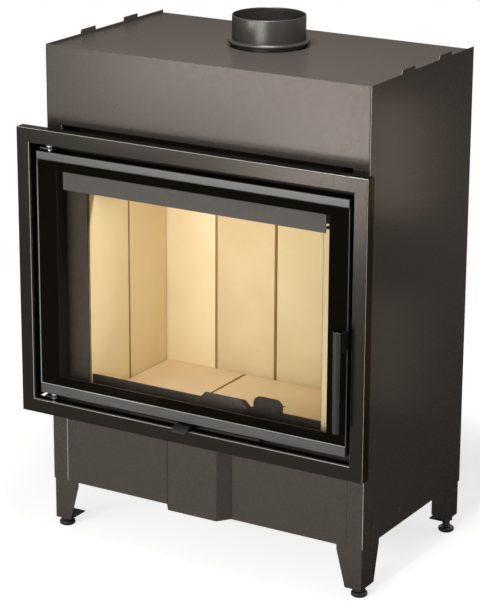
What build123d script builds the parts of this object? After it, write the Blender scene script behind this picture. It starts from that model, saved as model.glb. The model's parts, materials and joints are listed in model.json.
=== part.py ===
"""Wood-burning fireplace insert: a sheet-steel casing on four legs around a brick-lined firebox.

A wide glazed door turns on two pins at its left edge, inside a surround frame that stands off the casing.
A handle on a short lever latches it at the right. A tab below the door slides the combustion air gate.
The flue collar is on top, and an air inlet spigot is in the bottom.

Millimetres. X runs to the right as seen from the front, Y to the back, Z up. The origin is on the floor,
under the middle of the object's box. Heights of the casing and of all that it holds are counted from
BASE, the casing's lower edge, and depths from FRONT, the plane of the casing's front.
"""
from build123d import *
import os

# ---------------------------------------------------------------- clearances
FREE = 0.3            # gap between pieces that move past each other
RUN = 0.05            # radial clearance of a pin or stud in its hole
TOUCH = 0.5           # joint between loose bricks

# ---------------------------------------------------------------- casing
CASE_W = 730.0        # over the side panels
CASE_D = 428.0
CASE_H = 920.0        # lower edge to the top edge of the side panels
CASE_SHEET = 2.0
TOP_DROP = 6.0        # the top plate lies this far below the side panels' edges
RETURN_W = 36.0       # front return flange of a side panel
FASCIA_H = 160.0      # height of the upper front panel
FASCIA_FOLD = 15.0
LOWER_TOP = 160.0     # top edge of the lower front panel
HOOK_L = 55.0         # raised tab on a side panel's top edge
HOOK_H = 8.0
HOOK_PLACES = (147.0, 302.0)

# ---------------------------------------------------------------- legs and feet
BASE = 107.0          # the casing's lower edge above the floor
LEG_SHEET = 3.0
LEG_TUCK = 60.0       # height of a leg's flanges inside the casing
LEG_WIDE = 57.0       # width of the front or back flange at the casing
LEG_TIP = 37.0        # the same at the foot
LEG_SHOULDER = 10.0   # straight stretch below the casing before the taper
FRONT_LEG_DROP = 88.0
FRONT_LEG_DEEP = 74.0
FRONT_LEG_TIP = 55.0
REAR_LEG_DROP = 74.0
REAR_LEG_DEEP = 117.0
REAR_LEG_MID = 80.0
REAR_LEG_TIP = 56.0
REAR_LEG_STEP = 35.0
REAR_LEG_KNEE = 55.0
FOOT_R = 16.5
FOOT_PAD = 10.0
FOOT_INSET = 16.5     # foot centre from the casing's side
FOOT_FRONT = 22.0     # from the casing's front
FOOT_REAR = 23.0      # from the casing's back
STUD_R = 8.0
STUD_SPARE = 28.0     # stud length above the leg's tab
NUT_ACROSS = 24.0
NUT_H = 8.0

# ---------------------------------------------------------------- surround frame
SURROUND_OVER = 30.0      # its reach past the casing at each side
SURROUND_LAP = 2.0        # its top edge over the upper front panel's lower edge
SURROUND_LOW = 166.0
SURROUND_FACE = 29.0
SURROUND_FRONT = 63.0     # how far its face stands before the casing
SURROUND_DEPTH = 25.0
SURROUND_SHEET = 3.0
SURROUND_FLANGE = 15.5    # fold that is screwed to the casing's front
SURROUND_SCREWS = (260.0, 560.0)
SURROUND_TOP_SCREW = 62.0 # the third pair of screws, below the frame's top edge

# ---------------------------------------------------------------- firebox
SEAL_FRONT = 14.0         # face of the sealing plate, before the casing's front
SEAL_T = 4.0
SEAL_EDGE = 15.0          # from the casing's side to the sealing plate's edge
SEAL_FOLD = 3.0
MOUTH_EDGE = 38.0         # from the firebox's side to the sealing plate's opening, at the hinges
MOUTH_LATCH_EDGE = 11.0   # the same at the latch
MOUTH_LOW = 233.5
MOUTH_DROP = 40.0         # from the throat's upper edge to the opening's
BOX_GAP = 65.0            # air space between the casing's side and the firebox
BOX_BACK = 321.0
BOX_SHEET = 3.0
BOX_LOW = 163.0
BOX_FLOOR_T = 4.0
BOX_DROP = 60.0           # from the casing's top edge to the firebox's
SHOULDER_GAP = 3.0        # upper front wall behind the upper front panel's fold
STAND_PLACE = 200.0
STAND_FLANGE = 30.0
STAND_FRONT = 20.0
STAND_L = 280.0

# ---------------------------------------------------------------- lining
BRICK_T = 30.0
BRICK_DROP = 14.0         # from the opening's upper edge to the tops of the bricks
LINING_BACK = 287.0       # face of the back bricks
SIDE_SEAM = 1.5
BACK_BRICK_W = 144.0
BACK_SEAM = 1.5
BACK_MID_SEAM = 3.0
FLOOR_SEAM_X = -72.0
FLOOR_SEAM = 1.5
BRICK_BEVEL = 2.5
PLUG_HOLE_R = 5.0
PLUG_HOLE_DEEP = 6.0
PLUG_HOLE_X = 97.0
PLUG_HOLE_Y = 157.0
BAFFLE_T = 30.0
BAFFLE_FRONT = 90.0

# ---------------------------------------------------------------- log guard
GUARD_GAP = 1.5           # guard's end to the side bricks
GUARD_T = 4.0
GUARD_FRONT = 3.0
GUARD_FOOT = 18.0
GUARD_HIGH = 247.0
GUARD_STEP_FROM = 4.0
GUARD_STEP_TO = 96.0
GUARD_STEP_H = 11.0
GUARD_TAB_FROM = 115.0
GUARD_TAB_TO = 181.0
GUARD_TAB_H = 25.0
GUARD_TAB_ROUND = 16.0

# ---------------------------------------------------------------- flue and air
FLUE_R = 74.0
FLUE_WALL = 3.0
FLUE_BACK = 251.0
FLUE_RISE = 56.0          # rim above the casing's top edge
FLUE_LIP = 1.2
FLUE_GAP = 1.0
BEAD_R = 82.0             # stop bead that the flue pipe sits on
BEAD_T = 7.5
BEAD_ROUND = 2.5
BEAD_LIFT = 6.0           # bead's underside above the top plate
SPIGOT_R = 62.5
SPIGOT_WALL = 2.0
SPIGOT_LOW = 18.0
SPIGOT_BACK = 214.0
SPIGOT_FLANGE = 12.0

DUCT_X = -8.5
DUCT_W = 114.0            # front width of the slanted duct box
DUCT_FOOT_W = 154.0       # its width at the casing
DUCT_DEPTH = 27.0
DUCT_LOW = 0.5
AIR_SHEET = 2.0
DUCT_WINDOW_LOW = 66.0
DUCT_WINDOW_HIGH = 150.0
CHAMBER_W = 300.0
CHAMBER_FRONT = 34.0
CHAMBER_HIGH = 198.0
PORT_W = 40.0             # air ports in the sealing plate
PORT_LOW = 172.0
PORT_H = 16.0
PORT_PLACES = (-70.0, 30.0)
GATE_T = 3.0
GATE_HIGH = 192.0
GATE_END = 12.0
GATE_TRAVEL = 20.0        # each way from the middle
LEVER_X = -8.5
LEVER_W = 36.0
LEVER_Z = 201.0
LEVER_T = 3.0
LEVER_KNEE = 66.0         # the tab bends down here, just before the surround's face
LEVER_REACH = 79.0
LEVER_DIP = 7.0
LEVER_ROUND = 6.0

# ---------------------------------------------------------------- door
DOOR_GAP = 13.0           # gap to the surround at each side
DOOR_LOW = 209.5
DOOR_TOP_GAP = 16.5       # gap to the surround above the door
DOOR_FRONT = 56.0         # glass face before the casing's front
GLASS_T = 4.0
GLASS_SEAL_T = 2.0
GLASS_SEAL_W = 12.0
GLASS_SEAL_EDGE = 8.0
TRIM_TOP_H = 15.5
TRIM_LOW_H = 19.5
TRIM_GAP = 0.5
PAN_SHEET = 3.0
PAN_DEPTH = 19.0
THROAT_EDGE = 45.0        # from the door's side to the throat inside its frame
THROAT_LOW = 236.0
THROAT_TOP = 26.5         # from the door's top edge to the throat
ROPE_R = 5.0
ROPE_BEND = 7.0
CHANNEL_SHEET = 2.0
CHANNEL_W = 12.0
CHANNEL_GAP = 4.0         # channel edge to the sealing plate
CHANNEL_BASE = 2.4
HINGE_EDGE = 25.0         # from the door's side to the pins
HINGE_FRONT = 43.0
PIN_R = 5.0
PIN_HEAD_R = 8.0
PIN_HEAD_T = 3.0
PIN_GRIP = 18.5           # pin length inside the door
PIN_END_GAP = 1.5
HINGE_PLATE_T = 4.0
HINGE_PLATE_OUT = 17.0    # hinge plate's edges from the pins
HINGE_PLATE_IN = 13.0
HINGE_PLATE_FRONT = 54.0
HINGE_PLATE_LOW = 200.0
HINGE_PLATE_LIFT = 4.5    # upper hinge plate over the door
HINGE_TAIL = 20.0
HINGE_BLOCK_W = 22.0
HINGE_BLOCK_D = 14.0
HINGE_BLOCK_H = 27.0
SCREW_R = 2.5
SCREW_HEAD_R = 4.5
SCREW_HEAD_T = 2.5
TRIM_SCREW_EDGE = 73.0    # outer trim screws from the door's sides
TRIM_SCREW_MID = 95.0     # inner ones from the middle
CASE_SCREWS = ((42.0, 34.0), (147.0, 36.0))
DEFLECTOR_GAP = 10.0      # deflector's end to the throat
DEFLECTOR_H = 49.0
DEFLECTOR_FRONT = 44.0
DEFLECTOR_FOLD = 20.0

# ---------------------------------------------------------------- handle and latch
ROD_EDGE = 3.0            # rod's middle from the door's side
ROD_FRONT = 88.0
ROD_R = 8.0
ROD_LOW = 268.0
ROD_HIGH = 470.0
LATCH_T = 4.0
PIVOT_FRONT = 42.0
PIVOT_Z = 446.0
PIVOT_R = 4.0
PIVOT_HEAD_R = 7.0
PIVOT_HEAD_T = 3.0
PIVOT_DEEP = 14.0
ARM_UP = 19.0             # plate's half height around the pivot
HOOK_ARM = 8.0
HOOK_END = 8.0            # hook's end before the casing's front
HOOK_NOSE = 6.0
STRIKER_FRONT = 22.0
STRIKER_R = 4.0
STRIKER_Z = 456.0
STRIKER_PLATE_GAP = 6.0   # striker plate's face to the latch
STRIKER_PLATE_T = 4.0
STRIKER_REACH = 7.0       # striker pin's end past the latch's near face
STRIKER_PLATE_H = 32.0
STRIKER_PLATE_FRONT = 30.0

# ---------------------------------------------------------------- places that follow from these
HALF = CASE_W / 2
INSIDE = HALF - CASE_SHEET
FRONT = (ROD_FRONT + ROD_R - CASE_D) / 2
FASCIA_LOW = CASE_H - FASCIA_H
SHOULDER_BACK = CASE_SHEET + FASCIA_FOLD + SHOULDER_GAP
SURROUND_W = CASE_W + 2 * SURROUND_OVER
SURROUND_HIGH = FASCIA_LOW + SURROUND_LAP
FRAME_SCREWS = (*SURROUND_SCREWS, SURROUND_HIGH - SURROUND_TOP_SCREW)

DOOR_W = SURROUND_W - 2 * (SURROUND_FACE + DOOR_GAP)
DOOR_HALF = DOOR_W / 2
DOOR_HIGH = SURROUND_HIGH - SURROUND_FACE - DOOR_TOP_GAP
THROAT_W = DOOR_W - 2 * THROAT_EDGE
THROAT_HIGH = DOOR_HIGH - THROAT_TOP
PAN_FRONT = GLASS_T + GLASS_SEAL_T - DOOR_FRONT
ROPE_Y = -SEAL_FRONT - FREE - ROPE_R
TRIM_SCREWS = (TRIM_SCREW_EDGE - DOOR_HALF, -TRIM_SCREW_MID, TRIM_SCREW_MID, DOOR_HALF - TRIM_SCREW_EDGE)
DEFLECTOR_W = THROAT_W - 2 * DEFLECTOR_GAP
DEFLECTOR_LOW = THROAT_HIGH - DEFLECTOR_H
HINGE_X = HINGE_EDGE - DOOR_HALF
HINGE_PLATE_X = (HINGE_X - HINGE_PLATE_OUT, HINGE_X + HINGE_PLATE_IN)
HINGE_PLATE_HIGH = DOOR_HIGH + HINGE_PLATE_LIFT
ROD_X = DOOR_HALF - ROD_EDGE
LATCH_X = ROD_X + ROD_R - LATCH_T
STRIKER_FACE = LATCH_X - STRIKER_PLATE_GAP

SEAL_W = CASE_W - 2 * SEAL_EDGE
SEAL_HIGH = SURROUND_HIGH - SURROUND_FACE
BOX_W = CASE_W - 2 * BOX_GAP
BOX_HIGH = CASE_H - BOX_DROP
MOUTH_X = (MOUTH_EDGE - BOX_W / 2, BOX_W / 2 - MOUTH_LATCH_EDGE)
MOUTH_HIGH = THROAT_HIGH - MOUTH_DROP
BRICK_HIGH = MOUTH_HIGH - BRICK_DROP
GUARD_W = BOX_W - 2 * (BOX_SHEET + BRICK_T + GUARD_GAP)
FLUE_HIGH = CASE_H + FLUE_RISE
PARTS = {}


def block(x, y, z):
    """A box between two places on each axis. Depths count from FRONT and heights from BASE."""
    size = (x[1] - x[0], y[1] - y[0], z[1] - z[0])
    middle = ((x[0] + x[1]) / 2, FRONT + (y[0] + y[1]) / 2, BASE + (z[0] + z[1]) / 2)
    return Pos(*middle) * Box(*size)


def drum_z(x, y, z, radius):
    """A round bar along Z between two heights."""
    return Pos(x, FRONT + y, BASE + (z[0] + z[1]) / 2) * Cylinder(radius, z[1] - z[0])


def drum_y(x, y, z, radius):
    """A round bar along Y between two depths."""
    return Pos(x, FRONT + (y[0] + y[1]) / 2, BASE + z) * Rot(90, 0, 0) * Cylinder(radius, y[1] - y[0])


def drum_x(x, y, z, radius):
    """A round bar along X between two places."""
    return Pos((x[0] + x[1]) / 2, FRONT + y, BASE + z) * Rot(0, 90, 0) * Cylinder(radius, x[1] - x[0])


def plate_x(x, outline):
    """A plate square to X, from its outline in depths and heights."""
    points = [(x[0], FRONT + y, BASE + z) for y, z in outline]
    return extrude(make_face(Polyline(*points, close=True)), amount=x[1] - x[0], dir=(1, 0, 0))


def plate_y(y, outline):
    """A plate square to Y, from its outline in X and heights."""
    points = [(x, FRONT + y[0], BASE + z) for x, z in outline]
    return extrude(make_face(Polyline(*points, close=True)), amount=y[1] - y[0], dir=(0, 1, 0))


def plate_z(z, outline):
    """A plate square to Z, from its outline in X and depths."""
    points = [(x, FRONT + y, BASE + z[0]) for x, y in outline]
    return extrude(make_face(Polyline(*points, close=True)), amount=z[1] - z[0], dir=(0, 0, 1))


def window(y, half, z, wall):
    """A rectangular ring square to Y. Its inner edge is half wide each side and spans z."""
    outer = block((-half - wall, half + wall), y, (z[0] - wall, z[1] + wall))
    return outer - block((-half, half), y, z)


def mirrored(shape):
    """The same piece on the other side of the object."""
    return mirror(shape, about=Plane.YZ)


def group(shapes):
    """Separate solids kept as one node."""
    return Compound(children=[solid for shape in shapes for solid in shape.solids()])


# ---------------------------------------------------------------- casing
def make_casing():
    """Sheet casing: side panels, back, top, bottom, and the upper and lower front panels."""
    flue_hole = drum_z(0, FLUE_BACK, (0, CASE_H), FLUE_R + FLUE_GAP)
    leg_screws = [drum_x((INSIDE, HALF), y, z, SCREW_R + RUN) for y, z in CASE_SCREWS]

    side = block((INSIDE, HALF), (0, CASE_D), (0, CASE_H))
    side += block((HALF - RETURN_W, INSIDE), (0, CASE_SHEET), (0, FASCIA_LOW))
    for place in HOOK_PLACES:
        ends = (place - HOOK_L / 2, place + HOOK_L / 2)
        tab = [(ends[0], CASE_H), (ends[0] + HOOK_H / 2, CASE_H + HOOK_H),
               (ends[1], CASE_H + HOOK_H), (ends[1], CASE_H)]
        side += plate_x((INSIDE, HALF), tab)
    for hole in leg_screws:
        side -= hole
    for z in FRAME_SCREWS:
        x = SURROUND_W / 2 - SURROUND_FACE - SURROUND_FLANGE / 2
        side -= drum_y(x, (0, CASE_SHEET), z, SCREW_R + RUN)
    PARTS["side_panel_right"] = side
    PARTS["side_panel_left"] = mirrored(side)

    across = (-INSIDE, INSIDE)
    top = CASE_H - TOP_DROP
    PARTS["back_panel"] = block(across, (CASE_D - CASE_SHEET, CASE_D), (0, top))
    deep = (CASE_SHEET, CASE_D - CASE_SHEET)
    PARTS["top_plate"] = block(across, deep, (top - CASE_SHEET, top)) - flue_hole
    floor = block(across, deep, (LEG_TUCK, LEG_TUCK + CASE_SHEET))
    floor -= drum_z(0, SPIGOT_BACK, (0, CASE_H), SPIGOT_R - SPIGOT_WALL)
    PARTS["bottom_plate"] = floor

    fascia = block(across, (0, CASE_SHEET), (FASCIA_LOW, CASE_H))
    fold = (CASE_SHEET, CASE_SHEET + FASCIA_FOLD)
    fascia += block(across, fold, (FASCIA_LOW, FASCIA_LOW + CASE_SHEET))
    PARTS["upper_front_panel"] = fascia

    lower_half = HALF - RETURN_W
    lower = block((-lower_half, lower_half), (0, CASE_SHEET), (0, LOWER_TOP))
    inner = DUCT_FOOT_W / 2 - 2 * AIR_SHEET
    lower -= block((DUCT_X - inner, DUCT_X + inner), (0, CASE_SHEET), (DUCT_WINDOW_LOW, DUCT_WINDOW_HIGH))
    PARTS["lower_front_panel"] = lower


def hexagon(x, y, z, across):
    """A hexagonal nut blank along Z."""
    outline = RegularPolygon(across / 2, 6, major_radius=False)
    return Pos(x, FRONT + y, BASE + z[0]) * extrude(outline, amount=z[1] - z[0])


def make_leg(name, back, drop, deep_outline, tab_y, foot_y, side):
    """One folded angle leg with its foot tab, the lock nut under the tab and the levelling foot."""
    outer = INSIDE
    flange = [(outer - LEG_WIDE, LEG_TUCK), (outer - LEG_WIDE, -LEG_SHOULDER),
              (outer - LEG_TIP, -drop), (outer, -drop), (outer, LEG_TUCK)]
    leg = plate_y(back, flange) + plate_x((outer - LEG_SHEET, outer), deep_outline)
    leg += block((outer - LEG_TIP, outer), tab_y, (-drop, -drop + LEG_SHEET))
    x = HALF - FOOT_INSET
    stud_hole = drum_z(x, foot_y, (-drop, -drop + LEG_SHEET), STUD_R + RUN)
    leg -= stud_hole
    if foot_y < CASE_D / 2:
        near = CASE_SCREWS[0]
        leg -= drum_x((outer - LEG_SHEET, outer), near[0], near[1], SCREW_R + RUN)
    nut_z = (-drop - NUT_H, -drop)
    nut = hexagon(x, foot_y, nut_z, NUT_ACROSS) - drum_z(x, foot_y, nut_z, STUD_R + RUN)
    pad = drum_z(x, foot_y, (-BASE, -BASE + FOOT_PAD), FOOT_R)
    pad = chamfer(pad.edges(), FOOT_PAD / 4)
    foot = pad + drum_z(x, foot_y, (-BASE + FOOT_PAD, -drop + STUD_SPARE), STUD_R)
    pieces = {"leg_" + name: leg, "levelling_foot_" + name: foot}
    if side < 0:
        pieces = {key: mirrored(piece) for key, piece in pieces.items()}
        nut = mirrored(nut)
    PARTS.update(pieces)
    return nut


def make_legs():
    """Four legs, with levelling feet and lock nuts."""
    front_deep = [(CASE_SHEET, LEG_TUCK), (CASE_SHEET, -FRONT_LEG_DROP), (FRONT_LEG_TIP, -FRONT_LEG_DROP),
                  (FRONT_LEG_DEEP, -LEG_SHOULDER), (FRONT_LEG_DEEP, LEG_TUCK)]
    inner_back = CASE_D - CASE_SHEET
    rear_deep = [(inner_back, LEG_TUCK), (inner_back - REAR_LEG_DEEP, LEG_TUCK),
                 (inner_back - REAR_LEG_DEEP, -REAR_LEG_STEP), (inner_back - REAR_LEG_MID, -REAR_LEG_KNEE),
                 (inner_back - REAR_LEG_TIP, -REAR_LEG_DROP), (inner_back, -REAR_LEG_DROP)]
    front_face = (CASE_SHEET, CASE_SHEET + LEG_SHEET)
    rear_face = (inner_back - LEG_SHEET, inner_back)
    front_tab = (CASE_SHEET, FRONT_LEG_TIP)
    rear_tab = (inner_back - REAR_LEG_TIP, inner_back)
    nuts = []
    for side, hand in ((-1, "left"), (1, "right")):
        nuts.append(make_leg("front_" + hand, front_face, FRONT_LEG_DROP, front_deep, front_tab,
                             FOOT_FRONT, side))
        nuts.append(make_leg("rear_" + hand, rear_face, REAR_LEG_DROP, rear_deep, rear_tab,
                             CASE_D - FOOT_REAR, side))
    PARTS["foot_lock_nuts"] = group(nuts)


def make_case_screws():
    """Round-headed screws low on the side panels, the front ones also through the legs."""
    screws = []
    for number, (y, z) in enumerate(CASE_SCREWS):
        grip = CASE_SHEET + (LEG_SHEET if number == 0 else 0)
        shank = drum_x((HALF - grip, HALF), y, z, SCREW_R)
        head = drum_x((HALF, HALF + SCREW_HEAD_T), y, z, SCREW_HEAD_R)
        head = fillet(head.edges().group_by(Axis.X)[-1], SCREW_HEAD_T / 2)
        screw = shank + head
        screws += [screw, mirrored(screw)]
    PARTS["case_screws"] = group(screws)


# ---------------------------------------------------------------- surround frame
def make_surround():
    """Folded, mitred frame before the casing. Its inner fold runs back to the casing at the top and sides."""
    half = SURROUND_W / 2
    low, high = SURROUND_LOW, SURROUND_HIGH
    front, back = -SURROUND_FRONT, SURROUND_DEPTH - SURROUND_FRONT
    inner = half - SURROUND_FACE
    inner_z = (low + SURROUND_FACE, high - SURROUND_FACE)
    skin = SURROUND_SHEET
    rings = window((front, front + skin), inner, inner_z, SURROUND_FACE)
    rings += window((front, back), half - skin, (low + skin, high - skin), skin)
    rings += window((front, 0), inner, inner_z, skin)
    rings -= block((-half, half), (back, 0), (low, inner_z[0]))
    screw_x = inner - SURROUND_FLANGE / 2
    flange_z = (inner_z[0] + SURROUND_FLANGE, inner_z[1] - SURROUND_FLANGE)
    screws = []
    for side in (-1, 1):
        flange = sorted((side * inner, side * (inner - SURROUND_FLANGE)))
        rings += block(flange, (-CASE_SHEET, 0), flange_z)
        for z in FRAME_SCREWS:
            x = side * screw_x
            rings -= drum_y(x, (-CASE_SHEET, 0), z, SCREW_R + RUN)
            screws.append(drum_y(x, (-CASE_SHEET, CASE_SHEET), z, SCREW_R)
                          + drum_y(x, (-CASE_SHEET - SCREW_HEAD_T, -CASE_SHEET), z, SCREW_HEAD_R))
    PARTS["surround_screws"] = group(screws)

    outer_corners = {"top": [(-half, high), (half, high)], "bottom": [(-half, low), (half, low)],
                     "left": [(-half, low), (-half, high)], "right": [(half, low), (half, high)]}
    reach = SURROUND_FACE + SURROUND_FLANGE
    deep = half - reach
    deep_z = (low + reach, high - reach)
    inner_corners = {"top": [(deep, deep_z[1]), (-deep, deep_z[1])],
                     "bottom": [(deep, deep_z[0]), (-deep, deep_z[0])],
                     "left": [(-deep, deep_z[1]), (-deep, deep_z[0])],
                     "right": [(deep, deep_z[1]), (deep, deep_z[0])]}
    for place, outside in outer_corners.items():
        mitre = plate_y((front, 0), outside + inner_corners[place])
        PARTS["surround_" + place] = rings & mitre


# ---------------------------------------------------------------- firebox
def make_firebox():
    """Welded steel firebox, with the plate that the door seals on and the stand under it."""
    half = BOX_W / 2
    front = SEAL_T - SEAL_FRONT
    shoulder = SEAL_HIGH
    outline = [(front, BOX_LOW), (BOX_BACK, BOX_LOW), (BOX_BACK, BOX_HIGH), (SHOULDER_BACK, BOX_HIGH),
               (SHOULDER_BACK, shoulder), (front, shoulder)]
    wall = plate_x((half - BOX_SHEET, half), outline)
    PARTS["firebox_wall_right"] = wall
    PARTS["firebox_wall_left"] = mirrored(wall)
    across = (BOX_SHEET - half, half - BOX_SHEET)
    PARTS["firebox_back"] = block(across, (BOX_BACK - BOX_SHEET, BOX_BACK), (BOX_LOW, BOX_HIGH))
    PARTS["firebox_floor"] = block(across, (front, BOX_BACK - BOX_SHEET), (BOX_LOW, BOX_LOW + BOX_FLOOR_T))
    lid = block((-half, half), (SHOULDER_BACK, BOX_BACK), (BOX_HIGH, BOX_HIGH + BOX_FLOOR_T))
    PARTS["firebox_top"] = lid - drum_z(0, FLUE_BACK, (0, CASE_H), FLUE_R - FLUE_WALL)
    ledge = block(across, (front, SHOULDER_BACK + BOX_SHEET), (shoulder - BOX_SHEET, shoulder))
    ledge += block(across, (SHOULDER_BACK, SHOULDER_BACK + BOX_SHEET), (shoulder, BOX_HIGH))
    PARTS["firebox_shoulder"] = ledge

    plate_half = SEAL_W / 2
    face = (-SEAL_FRONT, front)
    plate = block((-plate_half, plate_half), face, (BOX_LOW, SEAL_HIGH))
    plate -= block(MOUTH_X, face, (MOUTH_LOW, MOUTH_HIGH))
    for place in PORT_PLACES:
        plate -= block((place - PORT_W / 2, place + PORT_W / 2), face, (PORT_LOW, PORT_LOW + PORT_H))
    for side in (-1, 1):
        edges = sorted((side * plate_half, side * (plate_half - SEAL_FOLD)))
        plate += block(edges, (front, 0), (BOX_LOW, SEAL_HIGH))
    PARTS["sealing_plate"] = plate

    rails = []
    for side in (-1, 1):
        web = sorted((side * STAND_PLACE, side * (STAND_PLACE + LEG_SHEET)))
        flange = sorted((side * STAND_PLACE, side * (STAND_PLACE + STAND_FLANGE)))
        length = (STAND_FRONT, STAND_FRONT + STAND_L)
        bottom = LEG_TUCK + CASE_SHEET
        rail = block(web, length, (bottom, BOX_LOW))
        rail += block(flange, length, (bottom, bottom + LEG_SHEET))
        rail += block(flange, length, (BOX_LOW - LEG_SHEET, BOX_LOW))
        rails.append(rail)
    PARTS["firebox_stand"] = group(rails)


def brick(x, y, z, edges_along):
    """A firebrick with its long edges along one axis slightly bevelled."""
    solid = block(x, y, z)
    return chamfer(solid.edges().filter_by(edges_along), BRICK_BEVEL)


def make_lining():
    """Loose firebricks: four at the back, two on each side, two on the floor, and the smoke baffle."""
    bed = BOX_LOW + BOX_FLOOR_T
    inside = BOX_W / 2 - BOX_SHEET
    face = inside - BRICK_T
    tall = (bed, BRICK_HIGH)
    back = (LINING_BACK + TOUCH, LINING_BACK + TOUCH + BRICK_T)
    seams = [(-inside + TOUCH, -BACK_BRICK_W - BACK_SEAM / 2),
             (-BACK_BRICK_W + BACK_SEAM / 2, -BACK_MID_SEAM / 2),
             (BACK_MID_SEAM / 2, BACK_BRICK_W - BACK_SEAM / 2),
             (BACK_BRICK_W + BACK_SEAM / 2, inside - TOUCH)]
    for number, span in enumerate(seams, start=1):
        PARTS[f"back_brick_{number}"] = brick(span, back, tall, Axis.Z)
    middle = LINING_BACK / 2
    runs = {"front": (0, middle - SIDE_SEAM / 2), "rear": (middle + SIDE_SEAM / 2, LINING_BACK)}
    for place, run in runs.items():
        side = brick((face, inside), run, tall, Axis.Z)
        PARTS["right_brick_" + place] = side
        PARTS["left_brick_" + place] = mirrored(side)
    thick = (bed, bed + BRICK_T)
    floors = {"left": (-face + TOUCH, FLOOR_SEAM_X - FLOOR_SEAM / 2),
              "right": (FLOOR_SEAM_X + FLOOR_SEAM / 2, face - TOUCH)}
    for place, span in floors.items():
        PARTS["floor_brick_" + place] = brick(span, (0, LINING_BACK), thick, Axis.Y)
    plug = drum_z(PLUG_HOLE_X, PLUG_HOLE_Y, (thick[1] - PLUG_HOLE_DEEP, thick[1]), PLUG_HOLE_R)
    PARTS["floor_brick_right"] -= plug
    baffle = block((-inside + TOUCH, inside - TOUCH), (BAFFLE_FRONT, back[1]),
                   (BRICK_HIGH, BRICK_HIGH + BAFFLE_T))
    PARTS["smoke_baffle"] = chamfer(baffle.edges().filter_by(Axis.X), BRICK_BEVEL)


def make_log_guard():
    """Lift-out steel plate at the front of the fire bed, with a raised middle and a rounded grip tab."""
    bed = BOX_LOW + BOX_FLOOR_T + BRICK_T + FREE
    half = GUARD_W / 2
    outline = [(-half, bed), (-half, GUARD_HIGH), (GUARD_STEP_FROM - GUARD_STEP_H, GUARD_HIGH),
               (GUARD_STEP_FROM, GUARD_HIGH + GUARD_STEP_H), (GUARD_STEP_TO, GUARD_HIGH + GUARD_STEP_H),
               (GUARD_STEP_TO + GUARD_STEP_H, GUARD_HIGH), (half, GUARD_HIGH), (half, bed)]
    face = (GUARD_FRONT, GUARD_FRONT + GUARD_T)
    guard = plate_y(face, outline)
    tab = block((GUARD_TAB_FROM, GUARD_TAB_TO), face, (GUARD_HIGH - GUARD_T, GUARD_HIGH + GUARD_TAB_H))
    tab = fillet(tab.edges().filter_by(Axis.Y).group_by(Axis.Z)[-1], GUARD_TAB_ROUND)
    guard += tab
    guard += block((-half, half), (GUARD_FRONT, GUARD_FRONT + GUARD_FOOT), (bed, bed + GUARD_T))
    PARTS["log_guard"] = guard


# ---------------------------------------------------------------- flue and air
def make_flue():
    """Flue collar on the firebox top, with a stop bead over the casing's top plate."""
    foot = BOX_HIGH + BOX_FLOOR_T
    seat = CASE_H - TOP_DROP + BEAD_LIFT
    bead = drum_z(0, FLUE_BACK, (seat, seat + BEAD_T), BEAD_R)
    bead = fillet(bead.edges(), BEAD_ROUND)
    collar = drum_z(0, FLUE_BACK, (foot, FLUE_HIGH), FLUE_R) + bead
    collar -= drum_z(0, FLUE_BACK, (foot, FLUE_HIGH), FLUE_R - FLUE_WALL)
    PARTS["flue_collar"] = fillet(collar.edges().group_by(Axis.Z)[-1], FLUE_LIP)


def make_air_inlet():
    """Air inlet spigot, the slanted duct box on the front and the air chamber above it."""
    under = LEG_TUCK
    spigot = drum_z(0, SPIGOT_BACK, (SPIGOT_LOW, under), SPIGOT_R)
    spigot += drum_z(0, SPIGOT_BACK, (under - AIR_SHEET, under), SPIGOT_R + SPIGOT_FLANGE)
    PARTS["air_spigot"] = spigot - drum_z(0, SPIGOT_BACK, (SPIGOT_LOW, under), SPIGOT_R - SPIGOT_WALL)

    skin = AIR_SHEET
    face, foot = DUCT_W / 2, DUCT_FOOT_W / 2
    outer = [(-foot, 0), (-face, -DUCT_DEPTH), (face, -DUCT_DEPTH), (foot, 0)]
    inner = [(1.5 * skin - foot, 0), (skin - face, skin - DUCT_DEPTH), (face - skin, skin - DUCT_DEPTH),
             (foot - 1.5 * skin, 0)]
    duct = plate_z((DUCT_LOW, LOWER_TOP), outer)
    duct -= plate_z((DUCT_LOW + skin, LOWER_TOP - skin), inner)
    neck_y = (2 * skin - DUCT_DEPTH, -SEAL_FRONT - skin)
    neck_x = (DUCT_X + 2 * skin - face, DUCT_X + face - 2 * skin)
    duct = Pos(DUCT_X, 0, 0) * duct - block(neck_x, neck_y, (LOWER_TOP - skin, LOWER_TOP))
    PARTS["air_duct_box"] = duct

    half = CHAMBER_W / 2
    depth = (-CHAMBER_FRONT, -SEAL_FRONT)
    chamber = block((-half, half), depth, (LOWER_TOP, CHAMBER_HIGH))
    chamber -= block((skin - half, half - skin), (skin - CHAMBER_FRONT, -SEAL_FRONT),
                     (LOWER_TOP + skin, CHAMBER_HIGH - skin))
    chamber -= block(neck_x, neck_y, (LOWER_TOP, LOWER_TOP + skin))
    swing = LEVER_W / 2 + GATE_TRAVEL + skin
    slot_y = (-SEAL_FRONT - GATE_T - skin, -SEAL_FRONT)
    chamber -= block((LEVER_X - swing, LEVER_X + swing), slot_y, (CHAMBER_HIGH - skin, CHAMBER_HIGH))
    PARTS["air_chamber"] = chamber


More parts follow.
